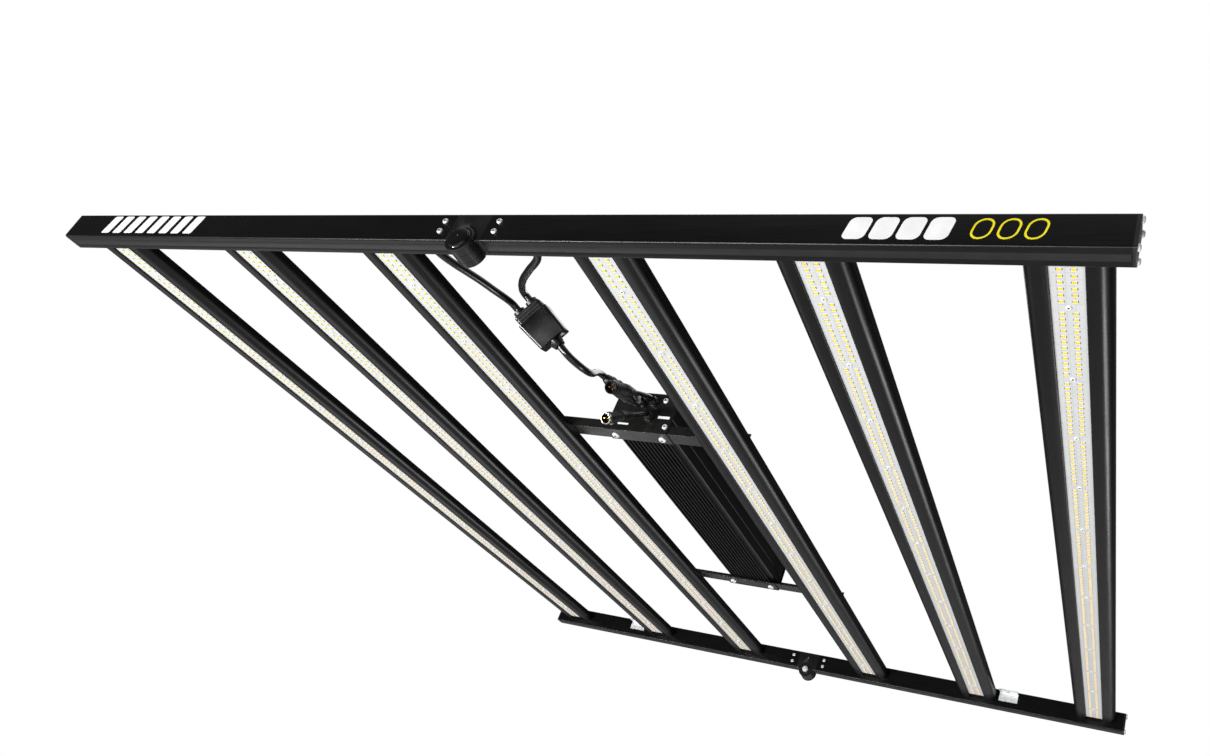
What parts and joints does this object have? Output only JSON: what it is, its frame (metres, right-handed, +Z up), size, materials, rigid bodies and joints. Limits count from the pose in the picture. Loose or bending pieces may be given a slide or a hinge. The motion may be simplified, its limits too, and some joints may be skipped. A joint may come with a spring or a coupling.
{
  "type": "led grow light",
  "caption": "Foldable multi-bar LED grow light: two hinged end rails, heat-sink bars with LED boards, a finned driver on cross brackets and its leads.",
  "frame": {"origin": "hanging centre: the middle of the light, level with the tops of the end rails", "axes": "+X along the end rails, +Y along the LED bars, +Z up; the LEDs face -Z"},
  "size_m": [1.1394, 1.1474, 0.095],
  "materials": {
    "anodised": "satin black anodised",
    "powder_coat": "matte black powder coat",
    "zinc_plate": "bright zinc plate",
    "board_white": "white solder mask",
    "lead_sheath": "glossy black PVC",
    "pad_rubber": "matte",
    "circuit_board": "green solder mask",
    "black_plastic": "fine grained moulding"
  },
  "bodies": {
    "right_half": {"rail_near_right": "anodised", "rail_far_right": "anodised", "rail_covers_right": "black_plastic", "end_caps_right": "black_plastic", "end_cap_screws_right": "zinc_plate", "hinge_block_near_right": "powder_coat", "hinge_block_far_right": "powder_coat", "pivot_bolts": "zinc_plate", "pivot_nuts": "zinc_plate", "hinge_screws_right": "zinc_plate", "led_bar_4": "anodised", "led_bar_5": "anodised", "led_bar_6": "anodised", "led_board_4": "board_white", "led_board_5": "board_white", "led_board_6": "board_white", "board_screws_right": "board_white", "bar_screws_right": "zinc_plate", "hanging_brackets_right": "zinc_plate", "driver_case": "anodised", "driver_front_plate": "powder_coat", "driver_rear_plate": "powder_coat", "driver_circuit": "circuit_board", "driver_screws": "zinc_plate", "driver_brackets": "powder_coat", "bracket_pads": "pad_rubber", "bracket_bolts": "zinc_plate", "cable_glands": "black_plastic", "splitter_body": "black_plastic", "splitter_cap": "black_plastic", "feed_lead_left": "lead_sheath", "feed_lead_right": "lead_sheath", "splitter_lead": "lead_sheath", "output_coupling": "black_plastic", "output_pigtail": "lead_sheath", "mains_pigtail": "lead_sheath", "mains_connector": "black_plastic", "control_pigtail": "lead_sheath", "control_connector": "black_plastic", "harness_right": "lead_sheath"},
    "left_half": {"rail_near_left": "anodised", "rail_far_left": "anodised", "rail_covers_left": "black_plastic", "end_caps_left": "black_plastic", "end_cap_screws_left": "zinc_plate", "hinge_block_near_left": "powder_coat", "hinge_block_far_left": "powder_coat", "hinge_screws_left": "zinc_plate", "board_screws_left": "board_white", "bar_screws_left": "zinc_plate", "hanging_brackets_left": "zinc_plate", "harness_left": "lead_sheath", "led_bar_1": "anodised", "led_bar_2": "anodised", "led_bar_3": "anodised", "led_board_1": "board_white", "led_board_2": "board_white", "led_board_3": "board_white"},
    "knob_near": {"knob_near": "black_plastic"},
    "knob_far": {"knob_far": "black_plastic"}
  },
  "joints": [
    {"name": "fold", "type": "hinge", "parent": "right_half", "child": "left_half", "pos_m": [0, 0, -0.033], "axis": [0, -1, 0], "range_deg": [0, 180], "deforming": ["feed_lead_left"]},
    {"name": "knob_near_turn", "type": "hinge", "parent": "right_half", "child": "knob_near", "pos_m": [0, -0.5675, -0.033], "axis": [0, 1, 0], "range_deg": [0, 360]},
    {"name": "knob_far_turn", "type": "hinge", "parent": "right_half", "child": "knob_far", "pos_m": [0, 0.5675, -0.033], "axis": [0, 1, 0], "range_deg": [0, 360]}
  ]
}
